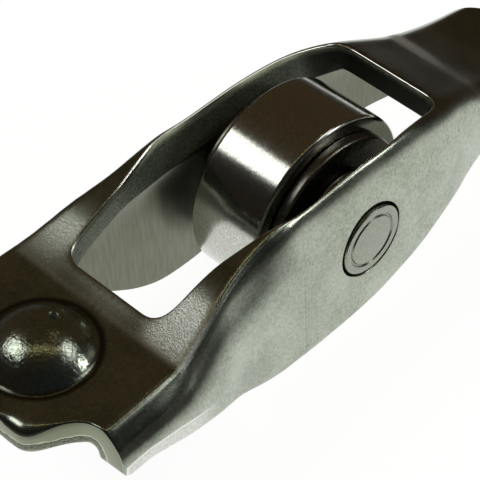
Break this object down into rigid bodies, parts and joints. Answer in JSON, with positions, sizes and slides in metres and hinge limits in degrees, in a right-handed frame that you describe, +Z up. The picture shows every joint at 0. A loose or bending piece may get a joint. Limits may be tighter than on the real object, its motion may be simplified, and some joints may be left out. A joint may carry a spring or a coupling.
{
  "type": "rocker arm",
  "caption": "Stamped steel roller finger follower with a domed pivot socket, a needle-borne cam roller in a window and a guided valve pad.",
  "frame": {"origin": "centre of the cam roller, on the roller pin axis", "axes": "+X from the pivot socket towards the valve pad, +Y along the roller pin, +Z up towards the camshaft"},
  "size_m": [0.0625, 0.0212, 0.017],
  "materials": {
    "arm_body": "satin, case-hardened and tumbled",
    "cam_roller": "ground and polished",
    "roller_pin": "ground, staked ends",
    "side_washers": "satin",
    "needles": "polished"
  },
  "bodies": {
    "arm": {"arm_body": "arm_body", "roller_pin": "roller_pin", "washer_near": "side_washers", "washer_far": "side_washers"},
    "roller": {"cam_roller": "cam_roller"},
    "needle_set": {"needle_01": "needles", "needle_02": "needles", "needle_03": "needles", "needle_04": "needles", "needle_05": "needles", "needle_06": "needles", "needle_07": "needles", "needle_08": "needles", "needle_09": "needles", "needle_10": "needles", "needle_11": "needles"}
  },
  "joints": [
    {"name": "roller_spin", "type": "hinge", "parent": "arm", "child": "roller", "pos_m": [0, 0, 0], "axis": [0, 1, 0], "continuous": true},
    {"name": "needle_orbit", "type": "hinge", "parent": "arm", "child": "needle_set", "pos_m": [0, 0, 0], "axis": [0, 1, 0], "continuous": true}
  ],
  "couplings": [
    {"joint": "needle_orbit", "follows": "roller_spin", "ratio": 0.63626}
  ]
}
